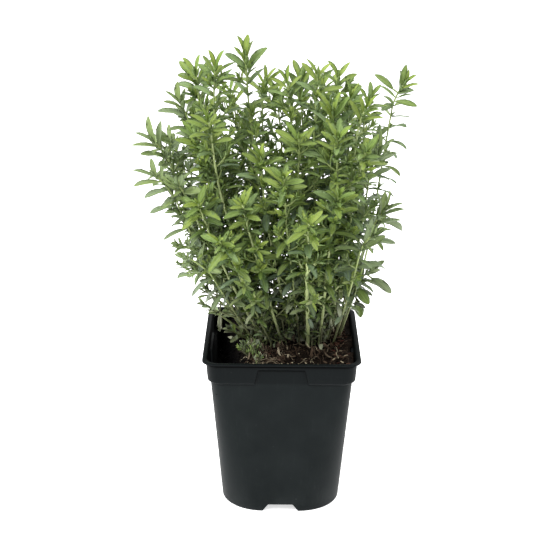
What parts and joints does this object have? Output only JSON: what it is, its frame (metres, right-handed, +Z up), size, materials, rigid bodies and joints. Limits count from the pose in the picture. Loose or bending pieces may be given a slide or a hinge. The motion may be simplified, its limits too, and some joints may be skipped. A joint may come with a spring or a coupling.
{
  "type": "potted savory",
  "caption": "Square tapered nursery pot with a shoulder band and lip, filled with compost and carrying a bushy clump of upright leafy savory stems.",
  "frame": {"origin": "on the ground under the middle of the whole plant, which is also the pot's own axis to within half a millimetre", "axes": "+Z up the pot, +X across to the picture's right, +Y away from the picture's viewer towards the back of the plant"},
  "size_m": [0.1932, 0.148, 0.3304],
  "materials": {
    "black_plastic": "satin moulded polypropylene, charcoal black",
    "compost": "moist dark peat compost with bark chips and fibres",
    "foliage": "fresh leaves, yellow-green at the tips and duller grey-green below, on pale green to woody stems"
  },
  "bodies": {
    "root": {"pot": "black_plastic", "compost": "compost", "stem_01": "foliage", "stem_02": "foliage", "stem_03": "foliage", "stem_04": "foliage", "stem_05": "foliage", "stem_06": "foliage", "stem_07": "foliage", "stem_08": "foliage", "stem_09": "foliage", "stem_10": "foliage", "stem_11": "foliage", "stem_12": "foliage", "stem_13": "foliage", "stem_14": "foliage", "stem_15": "foliage", "stem_16": "foliage", "stem_17": "foliage", "stem_18": "foliage", "stem_19": "foliage", "stem_20": "foliage", "stem_21": "foliage", "stem_22": "foliage", "stem_23": "foliage", "stem_24": "foliage", "stem_25": "foliage", "stem_26": "foliage", "stem_27": "foliage", "stem_28": "foliage", "stem_29": "foliage", "stem_30": "foliage", "stem_31": "foliage", "stem_32": "foliage", "stem_33": "foliage", "stem_34": "foliage", "stem_35": "foliage", "stem_36": "foliage", "stem_37": "foliage", "stem_38": "foliage", "stem_39": "foliage", "stem_40": "foliage", "stem_41": "foliage", "stem_42": "foliage", "stem_43": "foliage", "stem_44": "foliage", "stem_45": "foliage", "stem_46": "foliage", "stem_47": "foliage", "stem_48": "foliage"}
  },
  "joints": []
}
